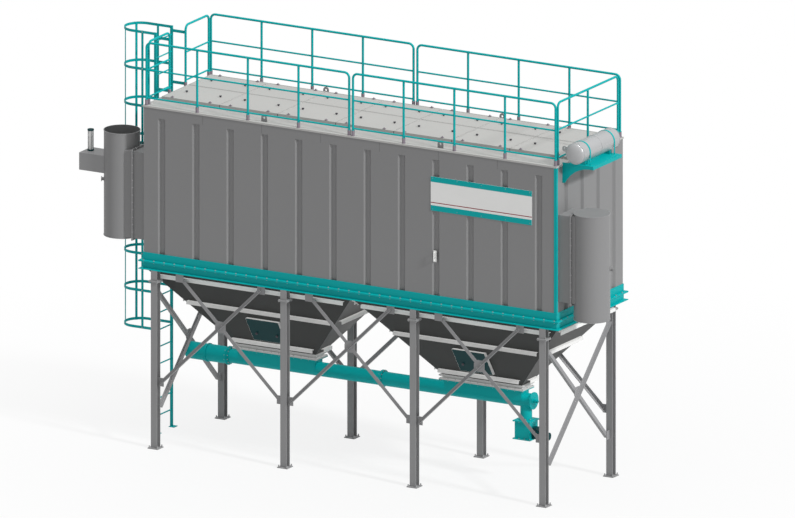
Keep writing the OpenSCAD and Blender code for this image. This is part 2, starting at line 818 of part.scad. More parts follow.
module ladder() color(teal) translate([ladder_x, -ladder_y, 0]) {
    for (s = [-1, 1]) {
        translate([-stile_w / 2, s * ladder_w / 2 - stile_t / 2, 0])
            cube([stile_w, stile_t, ladder_top]);
        translate([-stile_w / 2, s * ladder_w / 2 - 60, 0]) cube([110, 120, 10]);
    }
    for (z = [rung_step:rung_step:ladder_top - rung_r])
        translate([0, ladder_w / 2, z]) rotate([90, 0, 0])
            cylinder(r = rung_r, h = ladder_w, $fn = 16);
}

module ladder_brackets() color(teal) translate([ladder_x, -ladder_y, 0]) {
    to_post = ladder_off + rail_inset - fit - stile_w / 2;
    for (z = [roof_z - bracket_low, roof_z - bracket_high]) {
        translate([ladder_off - 10, -ladder_w / 2 - bracket_over, z])
            cube([10, ladder_w + 2 * bracket_over, bracket_h]);
        for (s = [-1, 1]) translate([stile_w / 2, s * ladder_w / 2 - 5, z])
            cube([ladder_off - 9 - stile_w / 2, 10, bracket_h]);
    }
    for (arm = [[roof_z + 40, socket_r], [ladder_top - 110, rail_r]], s = [-1, 1])
        translate([stile_w / 2, s * ladder_w / 2 - 5, arm[0]]) cube([to_post - arm[1], 10, 50]);
}

module u_shape(r) {
    circle(r = r);
    translate([0, -r]) square([hoop_arm, 2 * r]);
}

module cage_hoops() color(teal) for (i = [0:hoop_count - 1])
    translate([hoop_cx, -ladder_y, hoop_low_z + i * hoop_step - hoop_h / 2]) linear_extrude(hoop_h)
        difference() {
            u_shape(hoop_r + hoop_t / 2);
            u_shape(hoop_r - hoop_t / 2);
            translate([hoop_arm, -2 * hoop_r]) square([hoop_arm, 4 * hoop_r]);
            translate([0, -hoop_r + hoop_t / 2]) square([hoop_arm + cut, 2 * hoop_r - hoop_t]);
        }

module cage_straps() {
    strap_r = hoop_r - hoop_t / 2 - fit;
    strap_h = (hoop_count - 1) * hoop_step + hoop_h;
    arm_x = hoop_arm * 0.4;
    color(teal) translate([hoop_cx, -ladder_y, hoop_low_z - hoop_h / 2]) {
        for (a = [135, 225]) rotate(a) translate([strap_r - hoop_t - 1, -20, 0])
            cube([hoop_t, 40, strap_h]);
        for (s = [-1, 1]) translate([arm_x, s * (strap_r - hoop_t / 2) - hoop_t / 2, 0])
            cube([40, hoop_t, strap_h]);
    }
}

// Railing: one section of posts, rounded top rail and two lower rails, along +X from the origin

module rail_section(length, bays) {
    step = length / bays;
    for (i = [1:1:bays - 1]) translate([i * step, 0, 0]) cylinder(r = rail_r, h = rail_h, $fn = 16);
    for (x = [0, length]) translate([x, 0, 0]) cylinder(r = rail_r, h = rail_h - rail_bend_r, $fn = 16);
    for (i = [0:bays]) translate([i * step, 0, 0]) cylinder(r = socket_r, h = socket_h, $fn = 16);
    translate([rail_bend_r, 0, rail_h]) rotate([0, 90, 0])
        cylinder(r = rail_r, h = length - 2 * rail_bend_r, $fn = 16);
    for (z = [rail_mid_h, rail_low_h]) translate([0, 0, z]) rotate([0, 90, 0])
        cylinder(r = rail_bar_r, h = length, $fn = 16);
    for (x = [0, 1]) translate([x * length, 0, 0]) mirror([x, 0, 0])
        translate([rail_bend_r, 0, rail_h - rail_bend_r]) rotate([90, 0, 0])
            rotate([0, 0, 90]) rotate_extrude(angle = 90) translate([rail_bend_r, 0]) circle(r = rail_r, $fn = 16);
}

module long_rails(y) {
    length = post_x - rail_half_gap;
    for (x = [-post_x, rail_half_gap]) translate([x, y, roof_z]) rail_section(length, 4);
}

module front_rails() color(teal) long_rails(-post_y);

module back_rails() color(teal) long_rails(post_y);

module right_rail() color(teal) translate([post_x, -post_y + rail_corner_gap, roof_z]) rotate(90)
    rail_section(2 * (post_y - rail_corner_gap), 2);

module left_rails() {
    near = -post_y + rail_corner_gap;
    far = post_y - rail_corner_gap;
    gate = ladder_w / 2;
    color(teal) for (run = [[near, -ladder_y - gate], [-ladder_y + gate, far]])
        translate([-post_x, run[0], roof_z]) rotate(90) rail_section(run[1] - run[0], 1);
}

base_plates();
front_columns();
back_columns();
column_heads();
front_braces();
back_braces();
left_braces();
right_braces();
lower_frame();
upper_frame();
front_wall();
back_wall();
left_wall();
right_wall();
corner_strip();
roof_deck();
front_hatches();
back_hatches();
lifting_lugs();
left_hopper();
right_hopper();
left_hopper_ribs();
right_hopper_ribs();
inspection_doors();
outlet_necks();
conveyor_casing();
feed_troughs();
conveyor_drive();
discharge_pipe();
rotary_valve();
valve_motor();
ladder();
ladder_brackets();
cage_hoops();
cage_straps();
front_rails();
back_rails();
right_rail();
left_rails();
air_tank();
tank_straps();
tank_bracket();
inlet_pipe();
inlet_duct();
outlet_pipe();
outlet_duct();
damper_box();
damper_cylinder();
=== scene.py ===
import json
import math

import bmesh
import bpy
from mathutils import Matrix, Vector


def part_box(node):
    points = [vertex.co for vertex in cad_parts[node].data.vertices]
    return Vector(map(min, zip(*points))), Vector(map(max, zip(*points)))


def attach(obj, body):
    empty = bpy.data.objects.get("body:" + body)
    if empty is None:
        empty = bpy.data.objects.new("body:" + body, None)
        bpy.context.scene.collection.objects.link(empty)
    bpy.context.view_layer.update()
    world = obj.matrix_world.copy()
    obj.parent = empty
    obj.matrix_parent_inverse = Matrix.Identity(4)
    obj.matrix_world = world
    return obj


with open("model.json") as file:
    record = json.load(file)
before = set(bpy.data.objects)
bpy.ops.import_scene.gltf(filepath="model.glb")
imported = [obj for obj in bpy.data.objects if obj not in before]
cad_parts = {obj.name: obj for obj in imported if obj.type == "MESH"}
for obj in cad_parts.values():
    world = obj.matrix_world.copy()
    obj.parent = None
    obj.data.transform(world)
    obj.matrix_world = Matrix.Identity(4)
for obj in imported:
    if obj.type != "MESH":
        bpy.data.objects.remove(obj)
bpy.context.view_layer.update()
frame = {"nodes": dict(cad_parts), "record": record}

# places read from the frame
wallLo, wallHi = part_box("front_wall")
backLo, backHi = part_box("back_wall")
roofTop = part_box("roof_deck")[1].z
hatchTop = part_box("front_hatches")[1].z
lowerLo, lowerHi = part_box("lower_frame")
upperLo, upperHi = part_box("upper_frame")
columnLo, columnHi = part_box("front_columns")
plateLo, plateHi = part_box("base_plates")
headLo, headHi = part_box("column_heads")
columnHalf = (columnHi.y - columnLo.y) / 2
columnY = -(columnHi.y + columnLo.y) / 2
bayLength = (columnHi.x - columnLo.x - 2 * columnHalf) / 3
columnXs = [(i - 1.5) * bayLength for i in range(4)]
up = Vector((0, 0, 1))
down = Vector((0, 0, -1))


def setSocket(node, name, value):
    node.inputs[name].default_value = value


# shader group: soft unevenness of sprayed paint
def makePaintGroup():
    group = bpy.data.node_groups.new("sprayedPaint", "ShaderNodeTree")
    for name, kind in (("Color", "NodeSocketColor"), ("Unevenness", "NodeSocketFloat"),
                       ("Patch Scale", "NodeSocketFloat"), ("Roughness", "NodeSocketFloat")):
        group.interface.new_socket(name, in_out="INPUT", socket_type=kind)
    for name, kind in (("Color", "NodeSocketColor"), ("Roughness", "NodeSocketFloat"),
                       ("Height", "NodeSocketFloat")):
        group.interface.new_socket(name, in_out="OUTPUT", socket_type=kind)
    nodes, links = group.nodes, group.links
    groupIn = nodes.new("NodeGroupInput")
    groupOut = nodes.new("NodeGroupOutput")
    coords = nodes.new("ShaderNodeTexCoord")
    patches = nodes.new("ShaderNodeTexNoise")
    setSocket(patches, "Detail", 3.0)
    orangePeel = nodes.new("ShaderNodeTexNoise")
    setSocket(orangePeel, "Scale", 90.0)
    setSocket(orangePeel, "Detail", 2.0)
    links.new(coords.outputs["Object"], patches.inputs["Vector"])
    links.new(coords.outputs["Object"], orangePeel.inputs["Vector"])
    links.new(groupIn.outputs["Patch Scale"], patches.inputs["Scale"])
    centred = nodes.new("ShaderNodeMath")
    centred.operation = "SUBTRACT"
    centred.inputs[1].default_value = 0.5
    links.new(patches.outputs["Fac"], centred.inputs[0])
    swing = nodes.new("ShaderNodeMath")
    swing.operation = "MULTIPLY_ADD"
    swing.inputs[2].default_value = 1.0
    links.new(centred.outputs[0], swing.inputs[0])
    links.new(groupIn.outputs["Unevenness"], swing.inputs[1])
    shade = nodes.new("ShaderNodeVectorMath")
    shade.operation = "SCALE"
    links.new(groupIn.outputs["Color"], shade.inputs[0])
    links.new(swing.outputs[0], shade.inputs["Scale"])
    links.new(shade.outputs[0], groupOut.inputs["Color"])
    sheen = nodes.new("ShaderNodeMath")
    sheen.operation = "MULTIPLY_ADD"
    sheen.inputs[1].default_value = 0.12
    links.new(centred.outputs[0], sheen.inputs[0])
    links.new(groupIn.outputs["Roughness"], sheen.inputs[2])
    links.new(sheen.outputs[0], groupOut.inputs["Roughness"])
    links.new(orangePeel.outputs["Fac"], groupOut.inputs["Height"])
    return group


paintGroup = makePaintGroup()


def makePaint(name, color, roughness=0.45, unevenness=0.12, patchScale=1.3, metallic=0.0, bump=0.04,
              specular=0.3):
    material = bpy.data.materials.new(name)
    material.use_nodes = True
    nodes, links = material.node_tree.nodes, material.node_tree.links
    shader = nodes["Principled BSDF"]
    paint = nodes.new("ShaderNodeGroup")
    paint.node_tree = paintGroup
    setSocket(paint, "Color", (*color, 1.0))
    setSocket(paint, "Unevenness", unevenness)
    setSocket(paint, "Patch Scale", patchScale)
    setSocket(paint, "Roughness", roughness)
    setSocket(shader, "Metallic", metallic)
    setSocket(shader, "Specular IOR Level", specular)
    links.new(paint.outputs["Color"], shader.inputs["Base Color"])
    links.new(paint.outputs["Roughness"], shader.inputs["Roughness"])
    relief = nodes.new("ShaderNodeBump")
    setSocket(relief, "Strength", bump)
    setSocket(relief, "Distance", 0.002)
    links.new(paint.outputs["Height"], relief.inputs["Height"])
    links.new(relief.outputs["Normal"], shader.inputs["Normal"])
    return material


paints = {
    "column_grey": makePaint("columnGrey", (0.235, 0.235, 0.238)),
    "brace_grey": makePaint("braceGrey", (0.24, 0.24, 0.245)),
    "wall_grey": makePaint("wallGrey", (0.200, 0.200, 0.202), 0.45, 0.06, 0.8),
    "roof_pale": makePaint("roofPale", (0.39, 0.387, 0.375), 0.6, 0.06),
    "hopper_dark": makePaint("hopperDark", (0.024, 0.026, 0.025), 0.45, 0.15),
    "trim_pale": makePaint("trimPale", (0.70, 0.70, 0.69), 0.5),
    "door_teal": makePaint("doorTeal", (0.0, 0.035, 0.039), 0.45, specular=0.15),
    "teal": makePaint("frameTeal", (0.0, 0.32, 0.325), 0.45, 0.06, specular=0.12),
    "neck_grey": makePaint("neckGrey", (0.46, 0.465, 0.46)),
    "tank_steel": makePaint("tankSteel", (0.37, 0.375, 0.38), 0.30, 0.06, 2.0, 0.15),
}
zinc = makePaint("zincPlate", (0.33, 0.33, 0.335), 0.4, 0.1, 6.0, 0.4)
darkKnob = makePaint("knobDark", (0.035, 0.03, 0.04), 0.35, 0.1, 8.0)
socketPaint = makePaint("socketGrey", (0.20, 0.17, 0.20), 0.5, 0.1, 6.0)
signRed = makePaint("signRed", (0.22, 0.01, 0.015), 0.4)
seamShade = makePaint("seamShade", (0.12, 0.12, 0.12), 0.7)

for row in frame["record"]["subparts"]:
    nodeMesh = frame["nodes"][row["node"]].data
    nodeMesh.materials.clear()
    nodeMesh.materials.append(paints[row["material_slot"]])
print("paints on", len(frame["nodes"]), "frame pieces")


# mesh helpers: each gives (points, faces)
def brick(lo, hi):
    points = [Vector((x, y, z)) for z in (lo[2], hi[2]) for y in (lo[1], hi[1]) for x in (lo[0], hi[0])]
    faces = [(0, 2, 3, 1), (4, 5, 7, 6), (0, 1, 5, 4), (2, 6, 7, 3), (0, 4, 6, 2), (1, 3, 7, 5)]
    return points, faces


def prism(outline, step):
    count = len(outline)
    points = [Vector(p) for p in outline] + [Vector(p) + Vector(step) for p in outline]
    faces = [tuple(range(count))[::-1], tuple(range(count, 2 * count))]
    faces += [(i, (i + 1) % count, count + (i + 1) % count, count + i) for i in range(count)]
    return points, faces


def ringPoints(centre, axis, radius, sides):
    axis = Vector(axis).normalized()
    across = axis.orthogonal().normalized()
    beside = axis.cross(across)
    turns = [2 * math.pi * i / sides for i in range(sides)]
    return [Vector(centre) + radius * (math.cos(t) * across + math.sin(t) * beside) for t in turns]


def rod(start, end, radius, sides=20):
    axis = Vector(end) - Vector(start)
    return prism(ringPoints(start, axis, radius, sides), axis)


def collar(start, end, inner, outer, sides=32):
    axis = Vector(end) - Vector(start)
    rings = [ringPoints(p, axis, r, sides) for p, r in
             ((start, inner), (start, outer), (end, outer), (end, inner))]
    points = [p for ring in rings for p in ring]
    faces = []
    for k in range(4):
        a, b = k * sides, (k + 1) % 4 * sides
        faces += [(a + i, a + (i + 1) % sides, b + (i + 1) % sides, b + i) for i in range(sides)]
    return points, faces


def finishPiece(obj):
    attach(obj, "root")
    return obj


def makePiece(name, shapes, material, smooth=False):
    points, faces = [], []
    for shapePoints, shapeFaces in shapes:
        start = len(points)
        points += shapePoints
        faces += [tuple(start + i for i in face) for face in shapeFaces]
    mesh = bpy.data.meshes.new(name)
    mesh.from_pydata([tuple(p) for p in points], [], faces)
    work = bmesh.new()
    work.from_mesh(mesh)
    bmesh.ops.recalc_face_normals(work, faces=work.faces)
    work.to_mesh(mesh)
    work.free()
    mesh.materials.append(material)
    obj = bpy.data.objects.new(name, mesh)
    bpy.context.scene.collection.objects.link(obj)
    if smooth:
        mesh.shade_smooth()
        mesh.set_sharp_from_angle(angle=math.radians(35))
    return finishPiece(obj)


# geometry nodes: one small form stood on every point, facing the way the point says
def makeStandTree(name, parts):
    tree = bpy.data.node_groups.new(name, "GeometryNodeTree")
    tree.interface.new_socket("Geometry", in_out="INPUT", socket_type="NodeSocketGeometry")
    for label, radius, height, sides, base in parts:
        for suffix, value in ((" Radius", radius), (" Height", height), (" Base", base)):
            socket = tree.interface.new_socket(label + suffix, in_out="INPUT", socket_type="NodeSocketFloat")
            socket.default_value = value
    tree.interface.new_socket("Material", in_out="INPUT", socket_type="NodeSocketMaterial")
    tree.interface.new_socket("Geometry", in_out="OUTPUT", socket_type="NodeSocketGeometry")
    nodes, links = tree.nodes, tree.links
    treeIn = nodes.new("NodeGroupInput")
    treeOut = nodes.new("NodeGroupOutput")
    join = nodes.new("GeometryNodeJoinGeometry")
    for label, radius, height, sides, base in parts:
        form = nodes.new("GeometryNodeMeshCylinder")
        setSocket(form, "Vertices", sides)
        links.new(treeIn.outputs[label + " Radius"], form.inputs["Radius"])
        links.new(treeIn.outputs[label + " Height"], form.inputs["Depth"])
        half = nodes.new("ShaderNodeMath")
        half.operation = "MULTIPLY_ADD"
        half.inputs[1].default_value = 0.5
        links.new(treeIn.outputs[label + " Height"], half.inputs[0])
        links.new(treeIn.outputs[label + " Base"], half.inputs[2])
        lift = nodes.new("ShaderNodeCombineXYZ")
        links.new(half.outputs[0], lift.inputs["Z"])
        move = nodes.new("GeometryNodeTransform")
        links.new(form.outputs["Mesh"], move.inputs["Geometry"])
        links.new(lift.outputs[0], move.inputs["Translation"])
        links.new(move.outputs[0], join.inputs[0])
    facing = nodes.new("GeometryNodeInputNamedAttribute")
    facing.data_type = "FLOAT_VECTOR"
    setSocket(facing, "Name", "facing")
    align = nodes.new("FunctionNodeAlignRotationToVector")
    align.axis = "Z"
    links.new(facing.outputs["Attribute"], align.inputs["Vector"])
    stand = nodes.new("GeometryNodeInstanceOnPoints")
    links.new(treeIn.outputs["Geometry"], stand.inputs["Points"])
    links.new(join.outputs[0], stand.inputs["Instance"])
    links.new(align.outputs[0], stand.inputs["Rotation"])
    realize = nodes.new("GeometryNodeRealizeInstances")
    paint = nodes.new("GeometryNodeSetMaterial")
    links.new(stand.outputs[0], realize.inputs[0])
    links.new(realize.outputs[0], paint.inputs["Geometry"])
    links.new(treeIn.outputs["Material"], paint.inputs["Material"])
    links.new(paint.outputs[0], treeOut.inputs[0])
    return tree


def standForms(name, tree, places, sizes, material):
    mesh = bpy.data.meshes.new(name + "Places")
    mesh.from_pydata([tuple(place) for place, facing in places], [], [])
    attribute = mesh.attributes.new("facing", "FLOAT_VECTOR", "POINT")
    for i, (place, facing) in enumerate(places):
        attribute.data[i].vector = facing
    obj = bpy.data.objects.new(name, mesh)
    bpy.context.scene.collection.objects.link(obj)
    modifier = obj.modifiers.new("stand", "NODES")
    modifier.node_group = tree
    values = dict(sizes, Material=material)
    for item in tree.interface.items_tree:
        if item.item_type == "SOCKET" and item.in_out == "INPUT" and item.name in values:
            modifier[item.identifier] = values[item.name]
    graph = bpy.context.evaluated_depsgraph_get()
    plain = bpy.data.meshes.new_from_object(obj.evaluated_get(graph))
    obj.modifiers.clear()
    obj.data = plain
    plain.name = name
    if "facing" in plain.attributes:
        plain.attributes.remove(plain.attributes["facing"])
    if len(plain.materials) == 0:
        plain.materials.append(material)
    return finishPiece(obj)


boltTree = makeStandTree("hexBolt", [("Washer", 0.014, 0.003, 12, 0.0), ("Head", 0.011, 0.009, 6, 0.003)])
nutTree = makeStandTree("anchorNut", [("Washer", 0.016, 0.004, 12, 0.0), ("Nut", 0.0145, 0.018, 6, 0.004),
                                      ("Stud", 0.009, 0.034, 10, 0.004)])
knobTree = makeStandTree("coverKnob", [("Stem", 0.010, 0.016, 10, 0.0), ("Grip", 0.022, 0.016, 16, 0.014)])
socketTree = makeStandTree("postSocket", [("Sleeve", 0.0284, 0.096, 20, 0.0), ("Foot", 0.045, 0.008, 20, 0.0)])


def spread(start, end, gap):
    count = max(1, round((end - start) / gap))
    return [start + (end - start) * i / count for i in range(count + 1)]


# bolts of the frame joint, all round
frameJoint = {"inset": 0.028, "gap": 0.2, "topZ": 0.012, "lowZ": 0.012}


def makeFrameBolts():
    places = []
    edgeX = upperHi.x - frameJoint["inset"]
    edgeY = upperHi.y - frameJoint["inset"]
    heights = ((upperLo.z + frameJoint["topZ"], up), (lowerHi.z - frameJoint["lowZ"], down))
    for z, facing in heights:
        for x in spread(-edgeX + 0.06, edgeX - 0.06, frameJoint["gap"]):
            places += [(Vector((x, s * edgeY, z)), facing) for s in (-1, 1)]
        for y in spread(-edgeY + 0.14, edgeY - 0.14, frameJoint["gap"]):
            places += [(Vector((s * edgeX, y, z)), facing) for s in (-1, 1)]
    return standForms("frameBolts", boltTree, places, {}, zinc)


# nuts on the base plates and bolts of the column joints
columnJoint = {"anchorOff": 0.078, "boltOff": 0.0745, "plateDepth": 0.024}


def makeColumnBolts():
    anchors, bolts = [], []
    for x in columnXs:
        for y in (-columnY, columnY):
            for sx in (-1, 1):
                for sy in (-1, 1):
                    a, b = columnJoint["anchorOff"], columnJoint["boltOff"]
                    anchors.append((Vector((x + sx * a, y + sy * a, plateHi.z)), up))
                    lowZ = headLo.z
                    spot = Vector((x + sx * b, y + sy * b, lowZ))
                    bolts.append((spot, down))
                    bolts.append((spot + up * columnJoint["plateDepth"], up))
    standForms("anchorNuts", nutTree, anchors, {}, zinc)
    standForms("columnJointBolts", boltTree, bolts, {}, zinc)


# bolts of the braces: two at each bar's end and two at the crossing
braceBolts = {"lowZ": 1.145, "topX": 0.47, "topDrop": 0.06, "standOff": 0.0123, "near": 0.03, "next": 0.075,
              "barGap": 0.03}


def makeBraceBolts():
    places = []
    for i in range(3):
        x0, x1 = columnXs[i], columnXs[i + 1]
        low = Vector((x0 + columnHalf + braceBolts["barGap"], 0, braceBolts["lowZ"]))
        high = Vector((x1 - braceBolts["topX"], 0, lowerLo.z - braceBolts["topDrop"]))
        run = (high - low).normalized()
        middle = low + run * (((x0 + x1) / 2 - low.x) / run.x)
        spots = [low + run * braceBolts["near"], low + run * braceBolts["next"],
                 high - run * braceBolts["near"], high - run * braceBolts["next"],
                 middle - run * 0.05, middle + run * 0.05]
        for s in (-1, 1):
            for spot in spots:
                lift = Vector((0, s * (columnY + braceBolts["standOff"]), 0))
                places.append((spot + lift, Vector((0, s, 0))))
    return standForms("braceBolts", boltTree, places, {}, zinc)


# bolts of the duct, neck, valve and conveyor flanges
flangeBolts = {"ductGap": 0.13, "ductEdge": 0.019, "neckGap": 0.15, "neckEdge": 0.022, "roundCount": 12}
smallBolt = {"Washer Radius": 0.011, "Washer Height": 0.002, "Head Radius": 0.009, "Head Height": 0.007,
             "Head Base": 0.002}


def rectangleSpots(lo, hi, edge, gap):
    spots = []
    for a in spread(lo[0] + edge, hi[0] - edge, gap):
        spots += [(a, lo[1] + edge), (a, hi[1] - edge)]
    for b in spread(lo[1] + edge, hi[1] - edge, gap)[1:-1]:
        spots += [(lo[0] + edge, b), (hi[0] - edge, b)]
    return spots


def makeDuctBolts():
    places = []
    lipOff, lipThick, lip = 0.245, 0.016, 0.038
    for node, s in (("inlet_duct", 1), ("outlet_duct", -1)):
        lo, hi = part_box(node)
        face = wallHi.x + lipOff
        for y, z in rectangleSpots((lo.y, lo.z), (hi.y, hi.z), flangeBolts["ductEdge"], flangeBolts["ductGap"]):
            places.append((Vector((s * face, y, z)), Vector((-s, 0, 0))))
            places.append((Vector((s * (face + lipThick), y, z)), Vector((s, 0, 0))))
    return standForms("ductBolts", boltTree, places, smallBolt, zinc)


def makeNeckBolts():
    places = []
    lo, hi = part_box("outlet_necks")
    flange = 0.022
    length = 1.65
    for s in (-1, 1):
        centre = s * (hi.x - length / 2)
        spots = rectangleSpots((centre - length / 2, lo.y), (centre + length / 2, hi.y),
                               flangeBolts["neckEdge"], flangeBolts["neckGap"])
        for x, y in spots:
            places.append((Vector((x, y, lo.z + flange)), up))
            places.append((Vector((x, y, hi.z - flange)), down))
            places.append((Vector((x, y, lo.z - 0.016)), down))
    return standForms("neckBolts", boltTree, places, smallBolt, zinc)


def makeConveyorBolts():
    places = []
    casingLo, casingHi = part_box("conveyor_casing")
    driveLo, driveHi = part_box("conveyor_drive")
    dropLo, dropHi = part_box("discharge_pipe")
    valveLo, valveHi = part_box("rotary_valve")
    axisZ = (casingLo.z + casingHi.z) / 2
    for x, radius, s in ((driveHi.x - 0.022, 0.155, -1), (-0.022, 0.137, -1), (0.022, 0.137, 1),
                         (driveHi.x + 0.022, 0.137, 1)):
        for i in range(flangeBolts["roundCount"]):
            turn = 2 * math.pi * (i + 0.5) / flangeBolts["roundCount"]
            spot = Vector((x, radius * math.cos(turn), axisZ + radius * math.sin(turn)))
            places.append((spot, Vector((s, 0, 0))))
    dropX = (dropLo.x + dropHi.x) / 2
    for i in range(8):
        turn = 2 * math.pi * (i + 0.5) / 8
        places.append((Vector((dropX + 0.116 * math.cos(turn), 0.116 * math.sin(turn), dropLo.z + 0.014)), up))
    for x, y in rectangleSpots(valveLo, valveHi, 0.014, 0.11):
        places.append((Vector((x, y, valveLo.z + 0.016)), up))
        places.append((Vector((x, y, valveHi.z - 0.016)), down))
    return standForms("conveyorBolts", boltTree, places, smallBolt, zinc)


makeFrameBolts()
makeColumnBolts()
makeBraceBolts()
makeDuctBolts()
makeNeckBolts()
makeConveyorBolts()
print("bolts made")


# roof hatches: rims, knobs and clamps, and dark strips of painted shade in the gaps between them
hatches = {"count": 7, "endStrip": 0.062, "gap": 0.012, "knobSpan": 0.66, "clampSpan": 0.74, "rim": 0.022,
           "clampHalf": 0.022, "clampDepth": 0.045, "gapShadeDrop": 0.003}


def makeHatchDetails():
    knobs, clamps, rims, gapShadeStrips = [], [], [], []
    pitch = (wallHi.x - wallLo.x - 2 * hatches["endStrip"]) / hatches["count"]
    for node, side in (("front_hatches", -1), ("back_hatches", 1)):
        lo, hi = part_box(node)
        edge = lo.y if side < 0 else hi.y
        for i in range(hatches["count"]):
            x0 = wallLo.x + hatches["endStrip"] + i * pitch + hatches["gap"] / 2
            x1 = x0 + pitch - hatches["gap"]
            middle = (x0 + x1) / 2
            centreY = (lo.y + hi.y) / 2
            for s in (-1, 1):
                knobs.append((Vector((middle + s * hatches["knobSpan"] / 2, centreY, hatchTop)), up))
                at = middle + s * hatches["clampSpan"] / 2
                half, depth = hatches["clampHalf"], hatches["clampDepth"]
                y0, y1 = sorted((edge - side * 0.004, edge - side * depth))
                clamps.append(brick((at - half, y0, hatchTop), (at + half, y1, hatchTop + 0.016)))
                clamps.append(rod((at, (y0 + y1) / 2, hatchTop + 0.014), (at, (y0 + y1) / 2, hatchTop + 0.032), 0.009, 10))
            # a dark strip in each gap between hatches: painted shade standing in for the dark of the gap
            if i:
                gapShadeStrips.append(brick((x0 - hatches["gap"], lo.y, roofTop), (x0, hi.y, hatchTop - hatches["gapShadeDrop"])))
            w = hatches["rim"]
            top = hatchTop + 0.004
            rims.append(brick((x0, lo.y, hatchTop), (x1, lo.y + w, top)))
            rims.append(brick((x0, hi.y - w, hatchTop), (x1, hi.y, top)))
            rims.append(brick((x0, lo.y + w, hatchTop), (x0 + w, hi.y - w, top)))
            rims.append(brick((x1 - w, lo.y + w, hatchTop), (x1, hi.y - w, top)))
    standForms("hatchKnobs", knobTree, knobs, {}, darkKnob)
    makePiece("hatchClamps", clamps, socketPaint)
    makePiece("hatchGapShade", gapShadeStrips, darkKnob)
    makePiece("hatchRims", rims, paints["roof_pale"])


makeHatchDetails()


# rail post sockets
railing = {"inset": 0.035, "halfGap": 0.038, "bays": 4, "cornerGap": 0.075, "gateHalf": 0.273, "gateY": -0.04}


def makePostSockets():
    postX = wallHi.x - railing["inset"]
    postY = -wallLo.y - railing["inset"]
    places = []
    length = postX - railing["halfGap"]
    for start in (-postX, railing["halfGap"]):
        for i in range(railing["bays"] + 1):
            x = start + length * i / railing["bays"]
            places += [(Vector((x, s * postY, roofTop)), up) for s in (-1, 1)]
    side = postY - railing["cornerGap"]
    places += [(Vector((postX, y, roofTop)), up) for y in (-side, 0, side)]
    gate = railing["gateHalf"]
    places += [(Vector((-postX, y, roofTop)), up) for y in
               (-side, railing["gateY"] - gate, railing["gateY"] + gate, side)]
    return standForms("postSockets", socketTree, places, {"Foot Radius": 0.033}, socketPaint)


makePostSockets()


# faint sheet joints on the plain band over the folds, and a folded drip edge
fascia = {"height": 0.19, "seamGap": 1.155, "seamWidth": 0.005, "proud": 0.0012, "drip": 0.012}


def makeFasciaSeams():
    shapes = []
    low, high = wallHi.z - fascia["height"], wallHi.z
    w, p = fascia["seamWidth"] / 2, fascia["proud"]
    for x in spread(wallLo.x, wallHi.x, fascia["seamGap"])[1:-1]:
        shapes.append(brick((x - w, wallLo.y - p, low), (x + w, wallLo.y + 0.001, high)))
        shapes.append(brick((x - w, backHi.y - 0.001, low), (x + w, backHi.y + p, high)))
    for y in (-0.38, 0.38):
        shapes.append(brick((wallHi.x - 0.001, y - w, low), (wallHi.x + p, y + w, high)))
        shapes.append(brick((wallLo.x - p, y - w, low), (wallLo.x + 0.001, y + w, high)))
    makePiece("fasciaSeams", shapes, seamShade)
    drip = fascia["drip"]
    edges = []
    for s in (-1, 1):
        edge = wallHi.x + drip
        y0, y1 = sorted((s * -wallLo.y, s * (-wallLo.y + drip)))
        edges.append(brick((-edge, y0, roofTop - 0.03), (edge, y1, roofTop)))
        x0, x1 = sorted((s * wallHi.x, s * edge))
        edges.append(brick((x0, wallLo.y, roofTop - 0.03), (x1, -wallLo.y, roofTop)))
    makePiece("roofEdge", edges, paints["roof_pale"])


makeFasciaSeams()


# sheet ends that close the four corners, from the end walls' edges to the long walls' sheet
def makeCornerReturns():
    sheet = 0.005
    shapes = []
    for node, s in (("left_wall", -1), ("right_wall", 1)):
        lo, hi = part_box(node)
        outer = hi.x if s > 0 else lo.x
        x0, x1 = sorted((outer, outer - s * sheet))
        top = wallHi.z - fascia["height"]
        shapes.append(brick((x0, wallLo.y + sheet, wallLo.z), (x1, lo.y, top)))
        shapes.append(brick((x0, hi.y, wallLo.z), (x1, backHi.y - sheet, top)))
    makePiece("cornerReturns", shapes, paints["wall_grey"])


makeCornerReturns()


# bare sign plate with stripes, and a small handle below it
sign = {"x0": 1.588, "x1": 3.573, "z0": 4.906, "z1": 5.507, "thick": 0.005, "stripe": 0.095, "lineUp": 0.042,
        "line": 0.014, "proud": 0.0012}


def makeSign():
    front = wallLo.y - 0.0015
    face = front - sign["thick"]
    x0, x1, z0, z1 = sign["x0"], sign["x1"], sign["z0"], sign["z1"]
    skin = face - sign["proud"]
    makePiece("signPlate", [brick((x0, face, z0), (x1, front, z1))], paints["trim_pale"])
    stripes = [brick((x0, skin, z), (x1, face, z + sign["stripe"])) for z in (z0, z1 - sign["stripe"])]
    makePiece("signStripes", stripes, paints["teal"])
    lineZ = z0 + sign["stripe"] + sign["lineUp"]
    makePiece("signLine", [brick((x0, skin, lineZ), (x1, face, lineZ + sign["line"]))], signRed)
    rivets = [(Vector((x, face, z)), Vector((0, -1, 0))) for x in spread(x0 + 0.04, x1 - 0.04, 0.48)
              for z in (z0 + 0.03, z1 - 0.03)]
    small = {"Washer Radius": 0.008, "Washer Height": 0.001, "Head Radius": 0.006, "Head Height": 0.004,
             "Head Base": 0.001}
    standForms("signRivets", boltTree, rivets, small, zinc)


makeSign()

wallHandle = {"x": 1.667, "z": 4.107, "half": 0.07, "reach": 0.045, "radius": 0.008}


def makeWallHandle():
    x, z, face = wallHandle["x"], wallHandle["z"], wallLo.y
    half, out, r = wallHandle["half"], wallLo.y - wallHandle["reach"], wallHandle["radius"]
    shapes = [rod((x, face, z - half), (x, out, z - half), r, 12), rod((x, face, z + half), (x, out, z + half), r, 12),
              rod((x, out, z - half - r), (x, out, z + half + r), r, 12),
              brick((x - 0.03, face - 0.004, z - half - 0.03), (x + 0.03, face, z + half + 0.03))]
    makePiece("wallHandle", shapes, paints["trim_pale"])


makeWallHandle()
print("sign and wall trim made")


